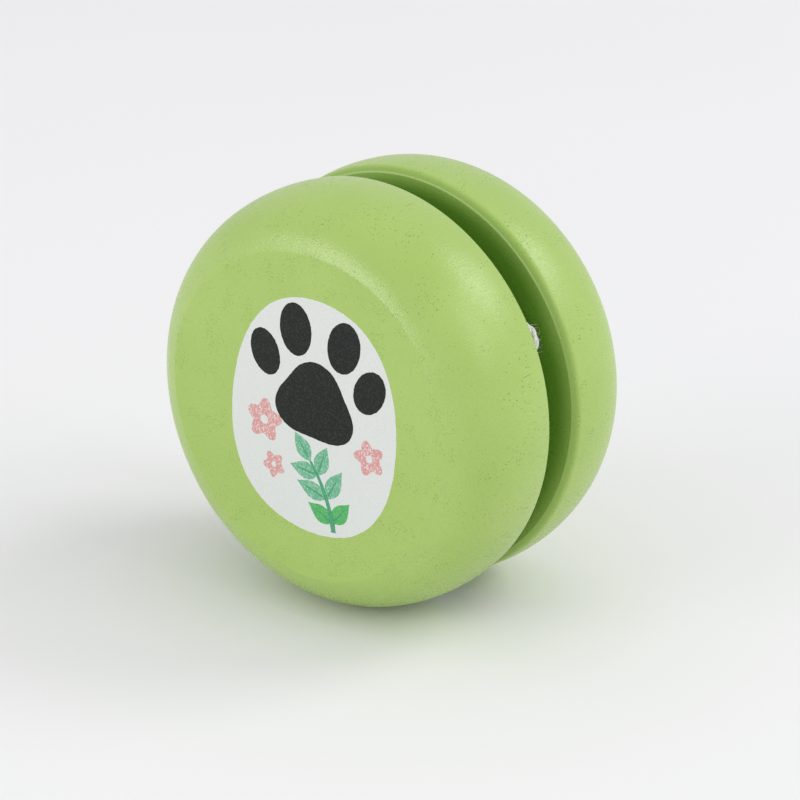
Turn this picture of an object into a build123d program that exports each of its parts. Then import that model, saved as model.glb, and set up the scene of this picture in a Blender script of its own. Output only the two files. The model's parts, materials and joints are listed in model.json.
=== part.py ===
"""Small wooden yo-yo: two turned halves glued on a dowel axle, with one cotton string.

Units are millimetres. The origin is on the axle, in the middle of the string gap.
The axle runs along Y, the printed face looks towards -Y and +Z is up.
The string is one cord: a loop round the axle, a wound length, a straight length that
leads out to a knot, and a finger loop. Each is its own node, because each moves in its
own way.
"""

from build123d import *
import os
from math import asin, cos, degrees, radians, sin, sqrt

os.makedirs("parts", exist_ok=True)

# Turned halves. Radii are from the axle, widths from the middle of the gap.
body_radius = 27.5
half_width = 17.05
flat_radius = 21.4
widest_at = 6.27
crease_angle = 18.9
crease_reach = 3.9
shoulder_fullness = 6.13
rim_drop = 0.45
rim_rounding = 0.9
crease_rounding = 0.35
gap_half_at_axle = 1.7
gap_half_at_rim = 2.55

# Dowel axle, and the blind hole it is glued in
dowel_radius = 4.0
dowel_depth = 10.0
dowel_chamfer = 0.6
glue_film = 0.02
glue_pocket = 0.5
drill_point_depth = 1.6
hole_mouth_chamfer = 0.3

# Printed film on the front face
print_thickness = 0.06
print_center = (1.5, 0.3)
print_radii = (14.2, 16.0)
print_tilt = -6.0

# Cotton string
cord_radius = 0.65
axle_play = 0.06
coil_inner_radius = 5.5
coil_outer_radius = 13.2
coil_side_clearance = 0.15
coil_crown = 0.8
cord_gap = 0.05

# Outer end of the string, which leads straight out from the axle loop between the turns
exit_angle = 25.5
knot_center = 17.2
knot_half_length = 1.95
knot_radius = 1.65
loop_tip = 25.0
loop_radius = 1.9

# The string leaves the gap along this direction. string_plane is the middle of the gap,
# with its first axis along the string, and exit_plane stands across the string.
exit_direction = Vector(cos(radians(exit_angle)), 0, sin(radians(exit_angle)))
string_plane = Plane(origin=(0, 0, 0), x_dir=exit_direction, z_dir=(0, -1, 0))
exit_plane = Plane(origin=(0, 0, 0), z_dir=exit_direction)
exit_axis = Axis((0, 0, 0), exit_direction)
loop_mirror = Plane(origin=(0, 0, 0), z_dir=string_plane.y_dir)


def gap_half_width(radius):
    """Distance from the middle of the gap to a half's inner wall, at a radius."""
    share = (radius - dowel_radius) / (body_radius - rim_drop - dowel_radius)
    return gap_half_at_axle + share * (gap_half_at_rim - gap_half_at_axle)


# rear_half: plain turned half, from the drilled hole round the rim to the outer flat
hole_radius = dowel_radius + glue_film
hole_bottom = gap_half_at_axle + dowel_depth + glue_pocket
hole_mouth = (hole_radius + hole_mouth_chamfer, gap_half_at_axle)
rim_corner = (body_radius - rim_drop, gap_half_at_rim)
widest = (body_radius, widest_at)
flat_edge = (flat_radius, half_width)
crease_lead = (
    flat_radius + crease_reach * cos(radians(crease_angle)),
    half_width - crease_reach * sin(radians(crease_angle)),
)
shoulder_lead = (body_radius, widest_at + shoulder_fullness)

with BuildPart() as rear_half:
    with BuildSketch(Plane.XY):
        with BuildLine():
            Line(hole_mouth, rim_corner)
            TangentArc(widest, rim_corner, tangent=(0, -1))
            Bezier(widest, shoulder_lead, crease_lead, flat_edge)
            Polyline(
                flat_edge,
                (0, half_width),
                (0, hole_bottom + drill_point_depth),
                (hole_radius, hole_bottom),
                (hole_radius, gap_half_at_axle + hole_mouth_chamfer),
                hole_mouth,
            )
        make_face()
    revolve(axis=Axis.Y)
    # by radius, the three largest circles are the crease, the rim's inner corner and the widest line
    crease = rear_half.edges().filter_by(GeomType.CIRCLE).sort_by(SortBy.RADIUS)[-3]
    fillet(crease, crease_rounding)
    rim_edge = rear_half.edges().filter_by(GeomType.CIRCLE).sort_by(SortBy.RADIUS)[-2]
    fillet(rim_edge, rim_rounding)
rear_half.part.label = "rear_half"

# front_half: the same turning, facing the other way
with BuildPart() as front_half:
    mirror(rear_half.part, about=Plane.XZ)
front_half.part.label = "front_half"

# axle_dowel: plain dowel with chamfered ends, glued in both halves
dowel_length = 2 * (gap_half_at_axle + dowel_depth)
with BuildPart() as axle_dowel:
    with BuildSketch(Plane.XZ.offset(-dowel_length / 2)):
        Circle(dowel_radius)
    extrude(amount=dowel_length)
    chamfer(axle_dowel.edges().filter_by(GeomType.CIRCLE), dowel_chamfer)
axle_dowel.part.label = "axle_dowel"

# front_print: thin ink film that lies on the front face, a little to one side
front_face = Plane(origin=(0, -half_width, 0), x_dir=(1, 0, 0), z_dir=(0, -1, 0))
with BuildPart() as front_print:
    with BuildSketch(front_face):
        with Locations(print_center):
            Ellipse(*print_radii, rotation=print_tilt)
    extrude(amount=print_thickness)
front_print.part.label = "front_print"

# axle_loop: the end of the string that runs loosely round the dowel
with BuildPart() as axle_loop:
    with BuildSketch(Plane.XY):
        with Locations((dowel_radius + axle_play + cord_radius, 0)):
            Circle(cord_radius)
    revolve(axis=Axis.Y)
axle_loop.part.label = "axle_loop"

# wound_string: the coil that fills the gap between the walls, crowned on the outside,
# with a radial hole that the straight length of the string passes through
coil_edge_radius = coil_outer_radius - coil_crown
coil_inner_half = gap_half_width(coil_inner_radius) - coil_side_clearance
coil_outer_half = gap_half_width(coil_edge_radius) - coil_side_clearance
with BuildPart() as wound_string:
    with BuildSketch(Plane.XY):
        with BuildLine():
            ThreePointArc(
                (coil_edge_radius, -coil_outer_half),
                (coil_outer_radius, 0),
                (coil_edge_radius, coil_outer_half),
            )
            Polyline(
                (coil_edge_radius, coil_outer_half),
                (coil_inner_radius, coil_inner_half),
                (coil_inner_radius, -coil_inner_half),
                (coil_edge_radius, -coil_outer_half),
            )
        make_face()
    revolve(axis=Axis.Y)
    with BuildSketch(exit_plane):
        Circle(cord_radius + cord_gap)
    extrude(amount=coil_outer_radius, mode=Mode.SUBTRACT)
wound_string.part.label = "wound_string"

# slip_knot: the knot that closes the finger loop, an egg-shaped lump on the exit line
with BuildPart() as slip_knot:
    with BuildSketch(string_plane):
        with BuildLine():
            EllipticalCenterArc(
                (knot_center, 0), knot_half_length, knot_radius, arc_size=180
            )
            Line(
                (knot_center - knot_half_length, 0),
                (knot_center + knot_half_length, 0),
            )
        make_face()
    revolve(axis=exit_axis)
slip_knot.part.label = "slip_knot"

# string_tail: the straight length from the axle loop to the knot
tail_start = dowel_radius + axle_play + 2 * cord_radius + cord_gap
with BuildPart() as string_tail:
    with BuildSketch(exit_plane.offset(tail_start)):
        Circle(cord_radius)
    extrude(amount=knot_center - tail_start)
    add(slip_knot.part, mode=Mode.SUBTRACT)
string_tail.part.label = "string_tail"

# finger_loop: a small loop drawn up by the knot; one side is swept, then mirrored
loop_center = loop_tip - cord_radius - loop_radius
apex_distance = loop_center - knot_center
leg_angle = degrees(asin(loop_radius / apex_distance))
leg_length = sqrt(apex_distance**2 - loop_radius**2)
leg_end = (
    knot_center + leg_length * cos(radians(leg_angle)),
    leg_length * sin(radians(leg_angle)),
)
with BuildPart() as finger_loop:
    with BuildLine(string_plane) as loop_path:
        Line((knot_center, 0), leg_end)
        CenterArc((loop_center, 0), loop_radius, 90 + leg_angle, -90 - leg_angle)
    with BuildSketch(Plane(origin=loop_path.line @ 0, z_dir=loop_path.line % 0)):
        Circle(cord_radius)
    sweep()
    add(slip_knot.part, mode=Mode.SUBTRACT)
    mirror(about=loop_mirror)
finger_loop.part.label = "finger_loop"

for piece in (
    front_half,
    rear_half,
    axle_dowel,
    front_print,
    axle_loop,
    wound_string,
    string_tail,
    slip_knot,
    finger_loop,
):
    export_step(piece.part, f"parts/{piece.part.label}.step")
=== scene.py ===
"""Looks of the small wooden yo-yo: satin paint over turned wood, a printed motif and a cotton string.

Every length below is in metres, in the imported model's frame: the axle runs along Y, the printed face
looks towards -Y and +Z is up. Sizes come from the frame, or are named here in units of MM.
"""

import json
import math

import bpy
import numpy as np
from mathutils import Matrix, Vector


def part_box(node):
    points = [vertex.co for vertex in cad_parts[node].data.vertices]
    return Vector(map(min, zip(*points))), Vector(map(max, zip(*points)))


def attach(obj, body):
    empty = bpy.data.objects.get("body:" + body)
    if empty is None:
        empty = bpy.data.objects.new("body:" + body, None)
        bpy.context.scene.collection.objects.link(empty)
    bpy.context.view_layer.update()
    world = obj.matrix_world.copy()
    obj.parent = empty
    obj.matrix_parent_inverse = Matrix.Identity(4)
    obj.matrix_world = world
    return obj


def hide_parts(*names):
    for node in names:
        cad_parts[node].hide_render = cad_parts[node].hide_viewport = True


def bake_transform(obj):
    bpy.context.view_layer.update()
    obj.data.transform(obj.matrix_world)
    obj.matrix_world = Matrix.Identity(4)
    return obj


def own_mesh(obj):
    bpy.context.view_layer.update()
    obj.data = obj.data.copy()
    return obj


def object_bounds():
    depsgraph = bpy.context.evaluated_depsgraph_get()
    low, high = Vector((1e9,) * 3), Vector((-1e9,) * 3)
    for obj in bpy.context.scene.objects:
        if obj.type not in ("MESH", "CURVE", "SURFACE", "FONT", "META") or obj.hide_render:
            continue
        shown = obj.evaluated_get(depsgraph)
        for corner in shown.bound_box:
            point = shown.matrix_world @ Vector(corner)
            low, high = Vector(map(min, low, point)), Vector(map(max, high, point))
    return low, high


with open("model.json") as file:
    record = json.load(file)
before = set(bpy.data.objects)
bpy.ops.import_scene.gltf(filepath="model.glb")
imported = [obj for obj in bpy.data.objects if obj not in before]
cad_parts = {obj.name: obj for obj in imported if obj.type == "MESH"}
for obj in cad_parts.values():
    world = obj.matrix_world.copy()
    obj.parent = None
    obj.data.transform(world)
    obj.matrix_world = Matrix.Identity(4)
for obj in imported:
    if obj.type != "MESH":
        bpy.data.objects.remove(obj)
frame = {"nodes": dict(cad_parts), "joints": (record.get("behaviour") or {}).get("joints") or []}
cad_low, cad_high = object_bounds()

MM = 0.001
rng = np.random.default_rng(12)

# Turned halves: radii are from the axle, widths from the middle of the gap
half_low, half_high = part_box("rear_half")
BODY_RADIUS = half_high[2]
HALF_WIDTH = half_high[1]
GAP_AT_AXLE = half_low[1]
FLAT_RADIUS = 21.4 * MM
WIDEST_AT = 6.27 * MM
CREASE_ANGLE = math.radians(18.9)
CREASE_REACH = 3.9 * MM
SHOULDER_FULLNESS = 6.13 * MM
CREASE_SOFTNESS = 0.1 * MM
RIM_DROP = 0.45 * MM
RIM_EASE = 0.60 * MM
RIM_INNER_ROUNDING = 0.22 * MM
RIM_OUTER_ROUNDING = 1.3 * MM
GAP_AT_RIM = 2.55 * MM
HOLE_RADIUS = 4.02 * MM
HOLE_BOTTOM = 12.2 * MM
DRILL_POINT = 1.6 * MM
HOLE_CHAMFER = 0.3 * MM
LATHE_STEPS = 288

# The flat's edge is not quite a circle: it has three low lobes and, on average, lies inside the CAD's
CREASE_INSET = 0.2 * MM
CREASE_LOBES = 3
CREASE_WANDER = 0.3 * MM
CREASE_PHASE = 0.56
CREASE_SPREAD = 1.6 * MM

# String
string_joint = next(j for j in frame["joints"] if j["name"] == "string_pull")
EXIT = np.array(string_joint["axis"], float)
SIDE = np.array([-EXIT[2], 0.0, EXIT[0]])
AXLE = np.array([0.0, 1.0, 0.0])
PULL = string_joint["range_m"][1]
CORD_RADIUS = 0.65 * MM
CORD_PITCH = 4.2 * MM
PLIES = 3
PLY_OFFSET = 0.50 * CORD_RADIUS
PLY_RADIUS = 0.53 * CORD_RADIUS
HAIR_RADIUS = 0.022 * MM
AXLE_LOOP_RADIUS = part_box("axle_loop")[1][0] - CORD_RADIUS
COIL_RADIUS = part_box("wound_string")[1][0]
COIL_INNER = 5.5 * MM
KNOT_CENTER = 17.2 * MM
KNOT_HALF_LENGTH = 1.95 * MM
LOOP_TIP = 25.0 * MM
LOOP_RADIUS = 1.9 * MM
LOOP_LEAN = 0.28 * MM

# Print: outlines are drawn in millimetres round its centre, and film() makes them metres
PRINT_CENTER = (1.5, 0.3)
PRINT_TILT = math.radians(-6.0)
INK_STEP = 0.012 * MM
EDGE_UNEVENNESS = 0.018


# ---------------------------------------------------------------- helpers


def srgb(red, green, blue):
    """Linear colour from 8-bit sRGB values."""
    values = []
    for value in (red, green, blue):
        c = value / 255
        values.append(c / 12.92 if c <= 0.04045 else ((c + 0.055) / 1.055) ** 2.4)
    return (*values, 1.0)


def make_piece(name, vertices, faces, material, body, slot, sharp_angle=60):
    """A smooth mesh object that rides on a body, if one is given, and wears the given material; slot is not
    used.

    Edges that turn by more than the sharp angle, in degrees, stay sharp.
    """
    mesh = bpy.data.meshes.new(name)
    mesh.from_pydata([tuple(v) for v in vertices], [], [tuple(f) for f in faces])
    mesh.materials.append(material)
    mesh.shade_smooth()
    mesh.set_sharp_from_angle(angle=math.radians(sharp_angle))
    mesh.update()
    piece = bpy.data.objects.new(name, mesh)
    bpy.context.collection.objects.link(piece)
    if body:
        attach(piece, body)
    return piece


class Shader:
    """A material's node tree, with short calls for the nodes used here."""

    def __init__(self, name):
        self.material = bpy.data.materials.new(name)
        self.material.use_nodes = True
        self.tree = self.material.node_tree
        self.bsdf = self.tree.nodes["Principled BSDF"]
        self.coords = self.tree.nodes.new("ShaderNodeTexCoord").outputs["Object"]

    def link(self, source, target):
        self.tree.links.new(source, target)

    def fill(self, target, value):
        """Puts a number, a colour or another node's output into an input."""
        if isinstance(value, bpy.types.NodeSocket):
            self.link(value, target)
        else:
            target.default_value = value

    def node(self, kind, **inputs):
        made = self.tree.nodes.new(kind)
        for name, value in inputs.items():
            self.fill(made.inputs[name.replace("_", " ")], value)
        return made

    def scaled(self, size):
        """Object coordinates counted in features of a size: one length, or a length for each axis."""
        x, y, z = size if isinstance(size, tuple) else (size, size, size)
        made = self.node("ShaderNodeMapping", Vector=self.coords)
        made.inputs["Scale"].default_value = (1 / x, 1 / y, 1 / z)
        return made.outputs["Vector"]

    def noise_at(self, vector, detail, roughness):
        """Smooth noise from 0 to 1, with one feature to a unit of the vector."""
        made = self.node("ShaderNodeTexNoise", Vector=vector)
        made.inputs["Scale"].default_value = 1.0
        made.inputs["Detail"].default_value = detail
        made.inputs["Roughness"].default_value = roughness
        return made.outputs["Fac"]

    def noise(self, size, detail=2.0, roughness=0.5):
        """Smooth noise from 0 to 1. size is one length, or a length for each axis."""
        return self.noise_at(self.scaled(size), detail, roughness)

    def scattered(self, size):
        """Scattered points, one to a cell, each with a random colour."""
        made = self.node("ShaderNodeTexVoronoi", Vector=self.scaled(size))
        made.inputs["Scale"].default_value = 1.0
        return made

    def spots(self, size, radius, share):
        """Scattered spots as a mask. radius is in cells, and share is how many cells hold a spot."""
        made = self.scattered(size)
        split = self.node("ShaderNodeSeparateColor", Color=made.outputs["Color"])
        reach = self.math("MULTIPLY", self.ramp(split.outputs["Green"], 0.0, 1.0, 0.45, 1.0), radius)
        inside = self.math("SUBTRACT", reach, made.outputs["Distance"])
        spot = self.ramp(inside, 0.0, 0.35 * radius)
        present = self.math("LESS_THAN", split.outputs["Red"], share)
        return self.math("MULTIPLY", spot, present)

    def polar(self):
        """Angle round the axle, radius from it, distance from the middle of the gap, and height."""
        split = self.node("ShaderNodeSeparateXYZ", Vector=self.coords)
        x, y, z = split.outputs
        angle = self.math("ARCTAN2", z, x)
        squares = self.math("ADD", self.math("MULTIPLY", x, x), self.math("MULTIPLY", z, z))
        radius = self.math("SQRT", squares, 0.0)
        return angle, radius, self.math("ABSOLUTE", y, 0.0), z

    def ramp(self, value, low, high, start=0.0, end=1.0):
        """Maps low..high to start..end, smoothly and clamped."""
        made = self.node("ShaderNodeMapRange", Value=value)
        made.interpolation_type = "SMOOTHSTEP"
        made.inputs["From Min"].default_value = low
        made.inputs["From Max"].default_value = high
        made.inputs["To Min"].default_value = start
        made.inputs["To Max"].default_value = end
        return made.outputs["Result"]

    def math(self, operation, a, b):
        made = self.tree.nodes.new("ShaderNodeMath")
        made.operation = operation
        self.fill(made.inputs[0], a)
        self.fill(made.inputs[1], b)
        return made.outputs[0]

    def mix(self, share, a, b):
        """Colour a where share is 0, and b where it is 1."""
        made = self.tree.nodes.new("ShaderNodeMix")
        made.data_type = "RGBA"
        self.fill(made.inputs["Factor"], share)
        self.fill(made.inputs["A"], a)
        self.fill(made.inputs["B"], b)
        return made.outputs["Result"]

    def bump(self, height, depth, strength=1.0, after=None):
        made = self.node("ShaderNodeBump", Height=height)
        made.inputs["Distance"].default_value = depth
        made.inputs["Strength"].default_value = strength
        if after is not None:
            self.link(after, made.inputs["Normal"])
        return made.outputs["Normal"]

    def surface(self, color, roughness, normal=None, **more):
        self.fill(self.bsdf.inputs["Base Color"], color)
        self.fill(self.bsdf.inputs["Roughness"], roughness)
        if normal is not None:
            self.link(normal, self.bsdf.inputs["Normal"])
        for name, value in more.items():
            self.fill(self.bsdf.inputs[name.replace("_", " ")], value)
        return self.material


# ---------------------------------------------------------------- materials


def paint_material():
    """Light green satin paint on turned wood whose grain runs along the axle.

    The wood shows through as pores: dots where the grain meets the surface end on, dashes on the rims.
    Near the flat's edge the tool has left short radial marks. In the gap the colour is darkened as painted
    shade and the paint is duller, and a painted highlight runs pale along the upper stretch of the inner
    edge.
    """
    s = Shader("green_paint")
    crowded = s.noise((3.2 * MM, 9 * MM, 3.2 * MM), detail=3.0)
    fine_pores = s.spots((0.21 * MM, 0.65 * MM, 0.21 * MM), 0.30, s.ramp(crowded, 0.50, 0.60, 0.01, 0.85))
    wide_pores = s.spots((0.8 * MM, 2.6 * MM, 0.8 * MM), 0.12, s.ramp(crowded, 0.48, 0.64, 0.02, 0.30))
    scores = s.spots((0.5 * MM, 45 * MM, 0.5 * MM), 0.12, 0.6)
    pores = s.math("MAXIMUM", fine_pores, s.math("MAXIMUM", wide_pores, scores))

    fibre = s.noise((0.24 * MM, 1.3 * MM, 0.24 * MM), detail=4.0, roughness=0.68)
    peel = s.noise(0.34 * MM, detail=3.0, roughness=0.6)
    waves = s.noise((2.4 * MM, 8 * MM, 2.4 * MM), detail=1.0)
    broad = s.noise(12 * MM, detail=2.0)

    angle, radius, width, height = s.polar()
    around = s.node("ShaderNodeCombineXYZ")
    s.fill(around.inputs["X"], s.math("MULTIPLY", angle, 55.0))
    s.fill(around.inputs["Y"], s.math("MULTIPLY", radius, 1 / (1.6 * MM)))
    s.fill(around.inputs["Z"], s.math("MULTIPLY", width, 1 / (5 * MM)))
    chatter = s.noise_at(around.outputs["Vector"], detail=4.0, roughness=0.65)
    near_crease = s.math(
        "MULTIPLY",
        s.ramp(radius, FLAT_RADIUS - 0.7 * MM, FLAT_RADIUS + 0.1 * MM),
        s.ramp(radius, FLAT_RADIUS + 3.4 * MM, FLAT_RADIUS + 1.0 * MM),
    )
    marked = s.math("MULTIPLY", near_crease, s.ramp(width, 11 * MM, 13 * MM))
    marks = s.math("MULTIPLY", marked, chatter)

    color = s.mix(s.ramp(broad, 0.3, 0.7), srgb(165, 194, 100), srgb(170, 198, 105))
    color = s.mix(s.ramp(fibre, 0.38, 0.75, 0.0, 0.30), color, srgb(150, 184, 88))
    color = s.mix(s.math("MULTIPLY", pores, 0.52), color, srgb(92, 124, 48))
    # Painted shade: the paint colour darkens inside the gap, more so deeper in; the same mask makes the
    # paint duller there.
    painted_gap_shade = s.math(
        "MULTIPLY",
        s.ramp(width, GAP_AT_RIM + 1.0 * MM, GAP_AT_RIM + 0.1 * MM),
        s.ramp(radius, BODY_RADIUS - 0.8 * MM, BODY_RADIUS - 3.4 * MM, 0.38, 1.0),
    )
    color = s.mix(painted_gap_shade, color, srgb(106, 152, 50))
    # Painted highlight: a pale line along the rim's inner edge, faint low down and strongest along the
    # upper stretch.
    from_edge = s.math("ABSOLUTE", s.math("SUBTRACT", radius, BODY_RADIUS - RIM_DROP - RIM_EASE), 0.0)
    painted_edge_highlight = s.math(
        "MULTIPLY",
        s.ramp(from_edge, 0.18 * MM, 0.04 * MM, 0.0, 0.65),
        s.ramp(width, GAP_AT_RIM + 0.3 * MM, GAP_AT_RIM + 0.15 * MM),
    )
    painted_edge_highlight = s.math("MULTIPLY", painted_edge_highlight, s.ramp(height, 5 * MM, 19 * MM, 0.12, 1.0))
    color = s.mix(painted_edge_highlight, color, srgb(190, 216, 136))

    rough = s.ramp(fibre, 0.3, 0.7, 0.21, 0.34)
    rough = s.math("ADD", rough, s.math("MULTIPLY", pores, 0.25))
    rough = s.math("ADD", rough, s.math("MULTIPLY", painted_gap_shade, 0.25))
    rough = s.math("SUBTRACT", rough, s.math("MULTIPLY", marked, 0.07))

    normal = s.bump(waves, 0.07 * MM, 0.6)
    normal = s.bump(marks, 0.045 * MM, 0.9, after=normal)
    normal = s.bump(peel, 0.032 * MM, 0.8, after=normal)
    normal = s.bump(fibre, 0.037 * MM, 0.9, after=normal)
    normal = s.bump(s.math("SUBTRACT", 1.0, pores), 0.04 * MM, 0.8, after=normal)
    gloss = s.math("ADD", s.ramp(painted_gap_shade, 0.0, 1.0, 0.5, 0.1), s.math("MULTIPLY", marked, 0.2))
    return s.surface(color, rough, normal, IOR=1.46, Specular_IOR_Level=gloss)


def ink_material(name, color, speck, amount, grain=0.11 * MM, gloss=0.5):
    """A thin ink film with fine specks of another colour in it, as a printed halftone has."""
    s = Shader(name)
    fine = s.noise(grain, detail=2.0, roughness=0.7)
    pits = s.noise(0.45 * MM, detail=3.0)
    tint = s.mix(s.ramp(fine, 0.50, 0.62, 0.0, amount), color, speck)
    normal = s.bump(pits, 0.010 * MM, 0.6)
    normal = s.bump(fine, 0.004 * MM, 0.6, after=normal)
    return s.surface(tint, s.ramp(pits, 0.3, 0.7, 0.42, 0.52), normal, Specular_IOR_Level=gloss)


def cord_material():
    """White cotton yarn: fine fibres, shadowed valleys and a faint sheen."""
    s = Shader("cotton_cord")
    fibre = s.noise(0.07 * MM, detail=3.0, roughness=0.7)
    tone = s.noise(1.1 * MM, detail=2.0)
    color = s.mix(s.ramp(tone, 0.3, 0.7), srgb(226, 224, 220), srgb(240, 239, 237))
    color = s.mix(s.ramp(fibre, 0.35, 0.6, 0.35, 0.0), color, srgb(196, 193, 188))
    normal = s.bump(fibre, 0.03 * MM, 0.9)
    return s.surface(color, 0.9, normal, Sheen_Weight=0.35, Sheen_Roughness=0.6)


def dowel_material():
    """Bare beech: pale, with short darker flecks along the axle."""
    s = Shader("bare_wood")
    grain = s.noise((0.35 * MM, 6 * MM, 0.35 * MM), detail=4.0, roughness=0.6)
    flecks = s.scattered((0.7 * MM, 4.5 * MM, 0.7 * MM)).outputs["Distance"]
    color = s.mix(s.ramp(grain, 0.3, 0.7), srgb(214, 180, 136), srgb(188, 148, 102))
    color = s.mix(s.ramp(flecks, 0.16, 0.06, 0.0, 0.7), color, srgb(140, 98, 60))
    normal = s.bump(grain, 0.02 * MM, 0.7)
    return s.surface(color, s.ramp(grain, 0.3, 0.7, 0.55, 0.7), normal)


def floor_material():
    """Plain pale paper sweep."""
    s = Shader("pale_floor")
    tone = s.noise(0.35, detail=2.0)
    color = s.mix(s.ramp(tone, 0.3, 0.7), srgb(236, 236, 236), srgb(239, 239, 238))
    return s.surface(color, 0.85, Specular_IOR_Level=0.2)


# ---------------------------------------------------------------- turned halves


def cubic(points, steps):
    """Points along a cubic curve from its four control points."""
    p = np.array(points, float)
    t = np.linspace(0, 1, steps)[:, None]
    return (1 - t) ** 3 * p[0] + 3 * (1 - t) ** 2 * t * p[1] + 3 * (1 - t) * t**2 * p[2] + t**3 * p[3]


def rounded_corner(corner, back, ahead, radius, steps):
    """An arc that rounds a corner between the unit directions back and ahead, both leading away from it."""
    corner, back, ahead = np.array(corner), np.array(back), np.array(ahead)
    half_angle = math.acos(float(back @ ahead)) / 2
    middle = (back + ahead) / np.linalg.norm(back + ahead)
    center = corner + middle * radius / math.sin(half_angle)
    first = corner + back * radius / math.tan(half_angle) - center
    last = corner + ahead * radius / math.tan(half_angle) - center
    sweep = math.acos(float(first @ last) / radius**2)
    t = np.linspace(0, 1, steps)[:, None]
    return center + (np.sin((1 - t) * sweep) * first + np.sin(t * sweep) * last) / math.sin(sweep)


def half_profile():
    """A half's outline, from the hole's point round to the middle of the flat.

    Each row holds a radius and a distance from the middle of the gap.
    """
    rim_corner = np.array([BODY_RADIUS - RIM_DROP, GAP_AT_RIM])
    widest = np.array([BODY_RADIUS, WIDEST_AT])
    flat_edge = np.array([FLAT_RADIUS, HALF_WIDTH])
    mouth = np.array([HOLE_RADIUS + HOLE_CHAMFER, GAP_AT_AXLE])

    hole = [
        (0, HOLE_BOTTOM + DRILL_POINT),
        (HOLE_RADIUS, HOLE_BOTTOM),
        (HOLE_RADIUS, GAP_AT_AXLE + HOLE_CHAMFER),
    ]
    wall_back = (mouth - rim_corner) / np.linalg.norm(mouth - rim_corner)
    wall = [mouth + (rim_corner - mouth) * t for t in np.linspace(0, 0.93, 12)]

    # the rim is a shallow arc that runs straight along the axle where the half is widest
    depth = widest[1] - rim_corner[1]
    arc_radius = (RIM_DROP**2 + depth**2) / (2 * RIM_DROP)
    turn = math.asin(depth / arc_radius)
    rim_ahead = np.array([math.sin(turn), math.cos(turn)])
    inner = rim_corner + wall_back * RIM_EASE
    outer = rim_corner + rim_ahead * RIM_EASE
    facet = (outer - inner) / np.linalg.norm(outer - inner)
    inner_edge = rounded_corner(inner, wall_back, facet, RIM_INNER_ROUNDING, 6)
    outer_edge = rounded_corner(outer, -facet, rim_ahead, RIM_OUTER_ROUNDING, 9)
    start = math.asin((widest[1] - outer_edge[-1][1]) / arc_radius)
    rim = [
        (BODY_RADIUS - arc_radius * (1 - math.cos(a)), WIDEST_AT - arc_radius * math.sin(a))
        for a in np.linspace(start, 0, 8)[1:]
    ]

    crease_lead = flat_edge + CREASE_REACH * np.array([math.cos(CREASE_ANGLE), -math.sin(CREASE_ANGLE)])
    shoulder_lead = widest + np.array([0, SHOULDER_FULLNESS])
    shoulder = cubic([widest, shoulder_lead, crease_lead, flat_edge], 56)
    shoulder = [p for p in shoulder[1:] if np.linalg.norm(p - flat_edge) > 1.2 * CREASE_SOFTNESS]
    toward_shoulder = (crease_lead - flat_edge) / CREASE_REACH
    soft_radius = CREASE_SOFTNESS / math.tan(CREASE_ANGLE / 2)
    crease = rounded_corner(flat_edge, toward_shoulder, np.array([-1.0, 0.0]), soft_radius, 7)

    flat_rings = np.array([0.97, 0.85, 0.6, 0.3, 0.0]) * FLAT_RADIUS
    flat = [(r, HALF_WIDTH) for r in flat_rings]
    return np.array([*hole, *wall, *inner_edge, *outer_edge, *rim, *shoulder, *crease, *flat])


def crease_wander(radius, angle):
    """Small radial shift of the points near the flat's edge."""
    nearness = np.exp(-(((radius - FLAT_RADIUS) / CREASE_SPREAD) ** 2))
    return nearness * (CREASE_WANDER * np.sin(CREASE_LOBES * angle - CREASE_PHASE) - CREASE_INSET)


def turned_half(name, side, node, material):
    """One half, turned round the axle. side is -1 for the front half and +1 for the rear one."""
    profile = half_profile()
    angles = np.linspace(0, 2 * math.pi, LATHE_STEPS, endpoint=False)
    rings, vertices = [], []
    for radius, width in profile:
        if radius < 1e-9:
            rings.append([len(vertices)])
            vertices.append((0, side * width, 0))
            continue
        rings.append(range(len(vertices), len(vertices) + LATHE_STEPS))
        reach = radius + (crease_wander(radius, angles) if width > WIDEST_AT else 0 * angles)
        for r, a in zip(reach, angles):
            vertices.append((r * math.cos(a), side * width, r * math.sin(a)))
    faces = []
    for inner, outer in zip(rings, rings[1:]):
        for k in range(LATHE_STEPS):
            n = (k + 1) % LATHE_STEPS
            if len(inner) == 1:
                face = (inner[0], outer[n], outer[k])
            elif len(outer) == 1:
                face = (inner[k], inner[n], outer[0])
            else:
                face = (inner[k], inner[n], outer[n], outer[k])
            faces.append(face[::-1] if side > 0 else face)
    piece = make_piece(name, vertices, faces, material, "spool", "green_paint", sharp_angle=40)
    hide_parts(node)


# ---------------------------------------------------------------- print


def oval(center, radii, tilt=0.0, steps=72, squareness=0.0, lean=0.0):
    """An oval outline in millimetres. squareness fills its corners, and lean narrows its upper end."""
    t = np.linspace(0, 2 * math.pi, steps, endpoint=False)
    fill = 1 + squareness * np.sin(2 * t) ** 2
    x = radii[0] * np.cos(t) * fill * (1 - lean * np.sin(t))
    y = radii[1] * np.sin(t) * fill
    c, s = math.cos(math.radians(tilt)), math.sin(math.radians(tilt))
    return np.stack([center[0] + c * x - s * y, center[1] + s * x + c * y], axis=1)


def lobed(center, radius, lobes, depth, tilt=0.0, steps=96, stretch=(1.0, 1.0)):
    """A round outline with even lobes, such as a paw's pad or a blossom."""
    t = np.linspace(0, 2 * math.pi, steps, endpoint=False)
    r = radius * (1 + depth * np.cos(lobes * (t - math.radians(tilt))))
    x = center[0] + stretch[0] * r * np.cos(t)
    y = center[1] + stretch[1] * r * np.sin(t)
    return np.stack([x, y], axis=1)


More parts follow.
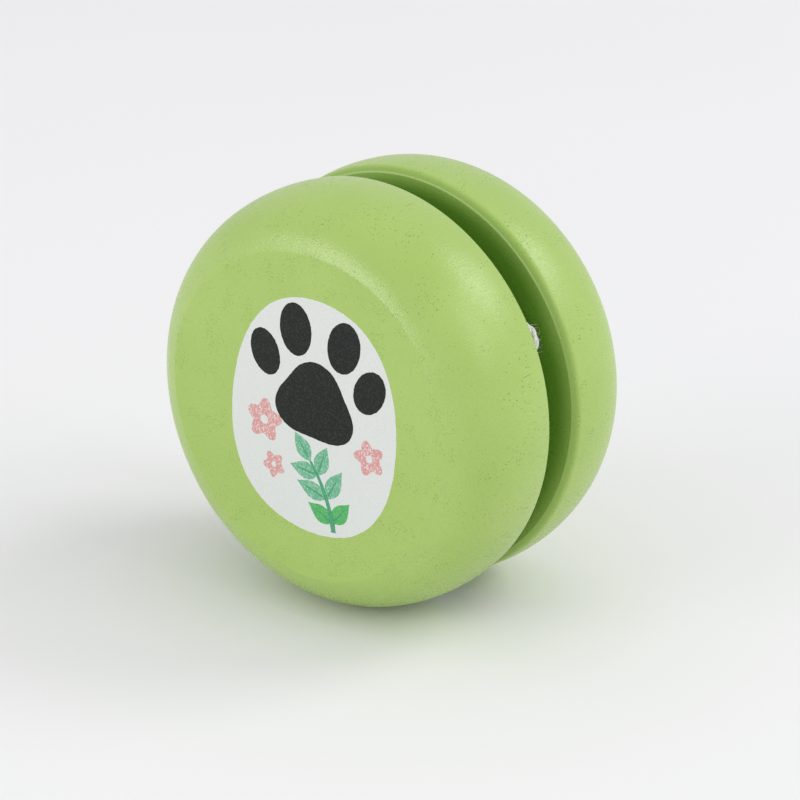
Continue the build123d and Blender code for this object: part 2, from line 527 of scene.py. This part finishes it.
def leaf(base, length, width, tilt, steps=20):
    """A pointed leaf outline that starts at base."""
    t = np.linspace(0, 1, steps)
    bulge = width / 2 * np.sin(math.pi * t**0.8) ** 1.15
    x = np.concatenate([t * length, (t * length)[-2:0:-1]])
    y = np.concatenate([-bulge, bulge[-2:0:-1]])
    c, s = math.cos(math.radians(tilt)), math.sin(math.radians(tilt))
    return np.stack([base[0] + c * x - s * y, base[1] + s * x + c * y], axis=1)


def stem_points(steps):
    """The sprig's gently curved stem, from its foot to the base of the end leaf."""
    foot, bend, top = np.array([4.6, -14.2]), np.array([3.4, -9.4]), np.array([0.1, -5.9])
    t = np.linspace(0, 1, steps)[:, None]
    return (1 - t) ** 2 * foot + 2 * (1 - t) * t * bend + t**2 * top


def band(points, widths):
    """A narrow outline that follows a line of points."""
    ahead = np.gradient(points, axis=0)
    ahead /= np.linalg.norm(ahead, axis=1)[:, None]
    across = np.stack([-ahead[:, 1], ahead[:, 0]], axis=1) * np.reshape(widths, (-1, 1)) / 2
    return np.concatenate([points - across, (points + across)[::-1]])


def film(name, outlines, level, material):
    """Thin ink shapes on the front face, thicker by one step for each level, with softly uneven edges."""
    c, s = math.cos(PRINT_TILT), math.sin(PRINT_TILT)
    front = -HALF_WIDTH - level * INK_STEP
    vertices, faces = [], []
    for outline in outlines:
        outline = np.asarray(outline) + rng.normal(0, EDGE_UNEVENNESS, np.shape(outline))
        x = PRINT_CENTER[0] + c * outline[:, 0] - s * outline[:, 1]
        z = PRINT_CENTER[1] + s * outline[:, 0] + c * outline[:, 1]
        n, first = len(outline), len(vertices)
        vertices += [(a * MM, front, b * MM) for a, b in zip(x, z)]
        vertices += [(a * MM, -HALF_WIDTH, b * MM) for a, b in zip(x, z)]
        faces.append(range(first, first + n))
        faces.append(range(first + 2 * n - 1, first + n - 1, -1))
        for k in range(n):
            m = (k + 1) % n
            faces.append((first + k, first + n + k, first + n + m, first + m))
    return make_piece(name, vertices, faces, material, "spool", "print_ink", sharp_angle=40)


def printed_motif():
    """A paw print, a leafy sprig and blossoms on a white pebble, in thin layers of ink."""
    white = ink_material("ink_white", srgb(221, 224, 220), srgb(190, 196, 186), 0.5)
    black = ink_material("ink_black", srgb(20, 22, 23), srgb(58, 72, 50), 0.4, grain=0.20 * MM, gloss=0.25)
    pink = ink_material("ink_pink", srgb(210, 148, 145), srgb(228, 212, 208), 1.0, grain=0.22 * MM)
    teal = ink_material("ink_teal", srgb(98, 172, 134), srgb(156, 204, 174), 1.0, grain=0.22 * MM)
    deep = ink_material("ink_deep_teal", srgb(58, 150, 104), srgb(96, 178, 132), 0.8, grain=0.17 * MM)
    fresh = ink_material("ink_leaf", srgb(70, 170, 92), srgb(116, 196, 112), 0.8, grain=0.17 * MM)

    outline = oval((0, -0.1), (13.0, 15.4), squareness=0.045, lean=0.05, steps=160)
    pebble = film("print_white", [outline], 1, white)
    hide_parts("front_print")

    pad = lobed((0.1, 1.7), 5.1, 3, 0.12, tilt=90, stretch=(1.16, 0.98))
    toes = [
        oval((-8.2, 6.2), (2.25, 3.05), tilt=26),
        oval((-3.7, 10.6), (2.5, 3.4), tilt=9),
        oval((3.9, 10.5), (2.5, 3.4), tilt=-9),
        oval((8.3, 6.1), (2.25, 3.05), tilt=-26),
    ]
    film("print_black", [pad, *toes], 2, black)

    stem = stem_points(25)
    ahead = np.degrees(np.arctan2(*np.gradient(stem, axis=0).T[::-1]))
    pairs = ((3, 4.3), (11, 4.9), (19, 4.4))
    sprays = [(stem[k], size, ahead[k] + turn) for k, size in pairs for turn in (-52, 52)]
    sprays.append((stem[-1], 4.2, ahead[-1]))
    lower, upper = sprays[:2], sprays[2:]
    leaf_width = 2.35
    film("print_leaf", [leaf(base, length, leaf_width, tilt) for base, length, tilt in lower], 2, fresh)
    film("print_teal", [leaf(base, length, leaf_width, tilt) for base, length, tilt in upper], 2, teal)
    veins = [band(stem, np.linspace(0.75, 0.35, len(stem)))]
    for base, length, tilt in sprays:
        c, d = math.cos(math.radians(tilt)), math.sin(math.radians(tilt))
        reach = np.linspace(0.12, 0.72, 8)[:, None] * length
        veins.append(band(base + reach * np.array([c, d]), np.linspace(0.3, 0.12, 8)))
    film("print_deep_teal", veins, 3, deep)

    # each blossom's centre, radius and tilt, and the radius of its white heart
    blossoms = (((-7.6, -2.9), 2.4, 18, 0.6), ((9.1, -2.4), 2.0, 40, 0.5), ((-5.6, -8.4), 1.5, 54, 0.38))
    petals = [lobed(center, radius, 5, 0.20, tilt=tilt) for center, radius, tilt, _ in blossoms]
    film("print_pink", petals, 2, pink)
    hearts = [oval(center, (heart, heart)) for center, _, _, heart in blossoms]
    film("print_blossom_hearts", hearts, 3, white)


# ---------------------------------------------------------------- string


def frames_along(path):
    """Unit tangents and two normals at each point of a path, turning as little as possible."""
    ahead = np.gradient(path, axis=0)
    tangents = ahead / np.linalg.norm(ahead, axis=1)[:, None]
    normals = np.empty_like(path)
    normal = np.cross(tangents[0], [0.31, 0.52, 0.79])
    for k, t in enumerate(tangents):
        normal = normal - (normal @ t) * t
        normal = normal / np.linalg.norm(normal)
        normals[k] = normal
    return tangents, normals, np.cross(tangents, normals)


def distance_along(path):
    """How far along a path each of its points lies."""
    return np.concatenate([[0], np.cumsum(np.linalg.norm(np.diff(path, axis=0), axis=1))])


def skin(path, normals, binormals, radii, sides):
    """Vertices and faces of a capped tube round a path, whose normals set where its corners lie."""
    around = np.linspace(0, 2 * math.pi, sides, endpoint=False)
    c, s = np.cos(around)[None, :, None], np.sin(around)[None, :, None]
    ring = c * normals[:, None] + s * binormals[:, None]
    vertices = (path[:, None] + ring * np.reshape(radii, (-1, 1, 1))).reshape(-1, 3)
    count = len(path)
    faces = []
    for i in range(count - 1):
        for k in range(sides):
            a, b = i * sides + k, i * sides + (k + 1) % sides
            faces.append((a, b, b + sides, a + sides))
    faces.append(tuple(range(sides - 1, -1, -1)))
    faces.append(tuple(range((count - 1) * sides, count * sides)))
    return vertices, faces


def tube(path, radii, sides):
    """A capped tube round a path."""
    _, normals, binormals = frames_along(path)
    return skin(path, normals, binormals, radii, sides)


def ply_lines(path, normals, binormals, pitch, thickness=1.0):
    """Centre lines of the plies that wind round a path. thickness is a share of the usual cord's."""
    for ply in range(PLIES):
        angle = 2 * math.pi * (distance_along(path) / pitch + ply / PLIES)
        out = np.cos(angle)[:, None] * normals + np.sin(angle)[:, None] * binormals
        yield path + thickness * PLY_OFFSET * out


def twisted(path, thickness=1.0, pitch=CORD_PITCH, sides=7):
    """A twisted cord along a path, as one tube for each ply."""
    _, normals, binormals = frames_along(path)
    radii = np.full(len(path), thickness * PLY_RADIUS)
    return [tube(line, radii, sides) for line in ply_lines(path, normals, binormals, pitch, thickness)]


def fuzz(path, count, reach, generator):
    """Loose fibres that stand off a cord."""
    tangents, normals, binormals = frames_along(path)
    solids = []
    for _ in range(count):
        k = generator.integers(1, len(path) - 1)
        angle = generator.uniform(0, 2 * math.pi)
        out = math.cos(angle) * normals[k] + math.sin(angle) * binormals[k]
        along = tangents[k] * generator.choice((-1.0, 1.0))
        bend = generator.normal(0, 0.35, 3)
        length = reach * generator.uniform(0.4, 1.0)
        t = np.linspace(0, 1, 7)[:, None]
        curl = out * t * (1 - 0.45 * t) + along * t * 0.7 + bend * t**2 * 0.5
        hair = path[k] + out * 0.8 * CORD_RADIUS + length * curl
        solids.append(tube(hair, HAIR_RADIUS * (1 - 0.7 * t[:, 0]), 3))
    return solids


def joined(solids):
    """Several solids as one list of vertices and one of faces."""
    vertices, faces, first = [], [], 0
    for points, sides in solids:
        vertices.append(points)
        faces += [tuple(first + i for i in face) for face in sides]
        first += len(points)
    return np.concatenate(vertices), faces


def in_plane(out, side, across=0.0):
    """Points from their distances along the string's exit, to its side and along the axle."""
    out, side = np.asarray(out, float), np.asarray(side, float)
    across = np.zeros_like(out) + across
    return out[:, None] * EXIT + side[:, None] * SIDE + across[:, None] * AXLE


def gap_half_width(radius):
    """Distance from the middle of the gap to a half's inner wall."""
    share = (radius - HOLE_RADIUS) / (BODY_RADIUS - RIM_DROP - HOLE_RADIUS)
    return GAP_AT_AXLE + share * (GAP_AT_RIM - GAP_AT_AXLE)


def axle_loop(material):
    """The ring of cord round the dowel."""
    angle = np.linspace(0, 2 * math.pi, 121)
    ring = in_plane(AXLE_LOOP_RADIUS * np.cos(angle), AXLE_LOOP_RADIUS * np.sin(angle))
    turns = round(2 * math.pi * AXLE_LOOP_RADIUS / CORD_PITCH)
    solids = twisted(ring, thickness=0.97, pitch=2 * math.pi * AXLE_LOOP_RADIUS / turns)
    piece = make_piece("axle_loop_cord", *joined(solids), material, "winding", "cotton_cord")
    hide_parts("axle_loop")


def winding_path():
    """The wound cord's centre line as angle, radius and place across the gap, layer on layer."""
    first = COIL_INNER + CORD_RADIUS
    last = COIL_RADIUS - 1.05 * CORD_RADIUS
    layers = 7
    slots = []
    wall_clearance = 0.22 * MM
    room = gap_half_width(first) - CORD_RADIUS - wall_clearance
    for layer in range(layers):
        radius = first + (last - first) * layer / (layers - 1)
        places = (-room, 0.0, room) if layer % 2 == 0 else (0.52 * room, -0.52 * room)
        slots += [(radius, place) for place in (places if layer % 4 < 2 else places[::-1])]
    angles, radii, across = [], [], []
    steps = 150
    crossing = 0.35
    unevenness = 0.07 * MM
    for turn, (radius, place) in enumerate(slots):
        after = slots[min(turn + 1, len(slots) - 1)]
        skew = rng.normal(0, unevenness, 2)
        for k in range(steps):
            t = k / steps
            share = np.clip((t - (1 - crossing)) / crossing, 0, 1)
            share = share * share * (3 - 2 * share)
            sway = skew[0] * math.sin(2 * math.pi * t) + skew[1] * math.sin(4 * math.pi * t)
            angles.append(2 * math.pi * (turn + t))
            radii.append(radius + (after[0] - radius) * share + 0.3 * sway)
            across.append(place + (after[1] - place) * share + sway)
    return np.array(angles), np.array(radii), np.array(across)


def wound_string(material):
    """The coil, cut like a cake into sectors, one piece for each.
    """
    sectors = 16
    angles, radii, across = winding_path()
    path = in_plane(radii * np.cos(-angles), radii * np.sin(-angles), across)
    _, normals, binormals = frames_along(path)
    lines = list(ply_lines(path, normals, binormals, CORD_PITCH))
    sector_of = np.floor(((angles / (2 * math.pi)) % 1) * sectors).astype(int)
    for sector in range(sectors):
        inside = np.flatnonzero(sector_of == sector)
        solids = []
        for run in np.split(inside, np.flatnonzero(np.diff(inside) > 1) + 1):
            low, high = run[0], min(run[-1] + 1, len(path) - 1)
            stretch = slice(low, high + 1)
            if high - low < 2:
                continue
            ply_radii = np.full(high + 1 - low, PLY_RADIUS)
            for line in lines:
                solids.append(skin(line[stretch], normals[stretch], binormals[stretch], ply_radii, 6))
            if radii[low] > COIL_RADIUS - 3 * CORD_RADIUS:
                solids += fuzz(path[stretch], 4, 0.5 * MM, rng)
        name = f"wound_cord_{sector + 1:02d}"
        piece = make_piece(name, *joined(solids), material, "winding", "cotton_cord")
        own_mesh(piece)
        if sector == 0:
            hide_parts("wound_string")


def paid_out_string(material):
    """The straight length from the axle loop to the knot.

    It is made as it lies when the string is fully paid out, and then gathered up: each point goes back
    to the place from which the blend between its two bodies carries it out again.
    """
    start = AXLE_LOOP_RADIUS + 0.8 * CORD_RADIUS
    gathered = COIL_RADIUS - 0.6 * CORD_RADIUS
    end = KNOT_CENTER - 0.8 * KNOT_HALF_LENGTH
    out = np.arange(start, end + PULL, 0.6 * MM)
    path = in_plane(out, np.zeros_like(out))
    vertices, faces = joined(twisted(path, sides=6))
    at_rest = np.linspace(start - MM, end + MM, 4000)
    share = np.clip((at_rest - start) / (gathered - start), 0, 1)
    carried = at_rest + PULL * share * share * (3 - 2 * share)
    place = vertices @ EXIT
    vertices = vertices + (np.interp(place, carried, at_rest) - place)[:, None] * EXIT
    piece = make_piece("paid_out_cord", vertices, faces, material, None, "cotton_cord")
    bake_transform(piece)
    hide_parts("string_tail")


def knot_and_loop(material):
    """The finger loop, and the barrel knot that closes it."""
    center = LOOP_TIP - CORD_RADIUS - LOOP_RADIUS
    apex = KNOT_CENTER + 0.2 * KNOT_HALF_LENGTH
    leg_angle = math.asin(LOOP_RADIUS / (center - apex))
    leg = math.sqrt((center - apex) ** 2 - LOOP_RADIUS**2)
    turn = np.linspace(math.pi / 2 + leg_angle, -math.pi / 2 - leg_angle, 60)
    bow_out = center + LOOP_RADIUS * np.cos(turn)
    bow_side = LOOP_RADIUS * np.sin(turn)
    up = np.linspace(0, leg, 12)[:-1]
    out = np.concatenate([apex + up * math.cos(leg_angle), bow_out, apex + up[::-1] * math.cos(leg_angle)])
    side = np.concatenate([up * math.sin(leg_angle), bow_side, -up[::-1] * math.sin(leg_angle)])
    rise = (out - apex) / (LOOP_TIP - CORD_RADIUS - apex)
    across = LOOP_LEAN * rise**1.5 + np.linspace(-0.4, 0.4, len(out)) * CORD_RADIUS * (1 - rise)
    loop = in_plane(out, side, across)
    solids = twisted(loop) + fuzz(loop, 150, 1.25 * MM, rng)
    piece = make_piece("finger_loop_cord", *joined(solids), material, "string_end", "cotton_cord")
    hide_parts("finger_loop")

    wraps = 2.75
    thickness = 0.62 * MM / CORD_RADIUS
    angle = np.linspace(0, 2 * math.pi * wraps, 170)
    reach = 1.02 * MM
    length = KNOT_HALF_LENGTH - 0.75 * thickness * CORD_RADIUS
    out = KNOT_CENTER + np.linspace(-length, length, len(angle))
    swell = 1 - 0.25 * np.linspace(-1, 1, len(angle)) ** 2
    barrel = in_plane(out, reach * swell * np.cos(angle), reach * swell * np.sin(angle))
    core = in_plane(np.linspace(out[0] - 0.3 * MM, out[-1] + 0.3 * MM, 12), np.zeros(12))
    solids = twisted(barrel, thickness) + twisted(core, thickness) + fuzz(barrel, 60, 0.8 * MM, rng)
    piece = make_piece("slip_knot_cord", *joined(solids), material, "string_end", "cotton_cord")
    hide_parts("slip_knot")


# ---------------------------------------------------------------- stage


def add_light(name, place, target, width, height, power, color=(1, 1, 1)):
    """A soft box that looks at a point."""
    data = bpy.data.lights.new(name, "AREA")
    data.shape = "RECTANGLE"
    data.size = width
    data.size_y = height
    data.energy = power
    data.color = color
    lamp = bpy.data.objects.new(name, data)
    bpy.context.collection.objects.link(lamp)
    lamp.location = place
    look = np.array(target, float) - np.array(place, float)
    lamp.rotation_euler = tuple(look_rotation(look))
    lamp.visible_camera = False


def look_rotation(direction):
    """Euler angles that turn a lamp or camera, which looks along -Z, to look along a direction."""
    return Vector(direction).to_track_quat("-Z", "Y").to_euler()


def build_stage():
    """A pale floor, a pale surround and soft light from above and from the right."""
    floor_level = cad_low[2]
    size = 40.0
    corners = [(x * size, y * size, floor_level) for x, y in ((-1, -1), (1, -1), (1, 1), (-1, 1))]
    mesh = bpy.data.meshes.new("floor")
    mesh.from_pydata(corners, [], [(0, 1, 2, 3)])
    mesh.materials.append(floor_material())
    floor = bpy.data.objects.new("floor", mesh)
    bpy.context.collection.objects.link(floor)

    world = bpy.data.worlds.new("surround")
    world.use_nodes = True
    nodes, links = world.node_tree.nodes, world.node_tree.links
    background = nodes["Background"]
    background.inputs["Color"].default_value = (0.93, 0.93, 0.96, 1)
    background.inputs["Strength"].default_value = 0.805
    far_wall = nodes.new("ShaderNodeBackground")
    far_wall.inputs["Color"].default_value = (0.74, 0.74, 0.75, 1)
    seen = nodes.new("ShaderNodeLightPath")
    share = nodes.new("ShaderNodeMixShader")
    links.new(seen.outputs["Is Camera Ray"], share.inputs[0])
    links.new(background.outputs[0], share.inputs[1])
    links.new(far_wall.outputs[0], share.inputs[2])
    links.new(share.outputs[0], nodes["World Output"].inputs["Surface"])
    bpy.context.scene.world = world

    middle = (0, 0, 0)
    add_light("right_key", (0.94, 0.14, 0.68), middle, 0.50, 0.50, 2.0, (1.0, 0.995, 0.985))
    add_light("back_light", (0.56, 0.68, 0.80), middle, 0.50, 0.50, 3.4)
    add_light("front_fill", (-0.42, -0.98, 0.31), middle, 0.66, 0.44, 3.2)


def build_camera():
    """The camera stands at the front right, a little above the yo-yo."""
    azimuth, elevation = math.radians(37.94), math.radians(20.90)
    distance = 12.37 * BODY_RADIUS
    right = np.array([math.cos(azimuth), math.sin(azimuth), 0])
    back = np.array([
        math.sin(azimuth) * math.cos(elevation),
        -math.cos(azimuth) * math.cos(elevation),
        math.sin(elevation),
    ])
    up = np.cross(back, right)
    target = BODY_RADIUS * (0.050 * right - 0.098 * up)
    data = bpy.data.cameras.new("camera")
    data.sensor_width = 36.0
    data.lens = 119.8
    data.clip_start = 0.01
    camera = bpy.data.objects.new("camera", data)
    camera.location = tuple(target + distance * back)
    camera.rotation_euler = tuple(look_rotation(-back))
    bpy.context.collection.objects.link(camera)
    bpy.context.scene.camera = camera


# ---------------------------------------------------------------- build

paint = paint_material()
turned_half("front_half_painted", -1, "front_half", paint)
turned_half("rear_half_painted", 1, "rear_half", paint)
frame["nodes"]["axle_dowel"].data.materials.clear()
frame["nodes"]["axle_dowel"].data.materials.append(dowel_material())
printed_motif()

cotton = cord_material()
axle_loop(cotton)
wound_string(cotton)
paid_out_string(cotton)
knot_and_loop(cotton)

build_stage()
build_camera()
bpy.context.scene.view_settings.view_transform = "Standard"
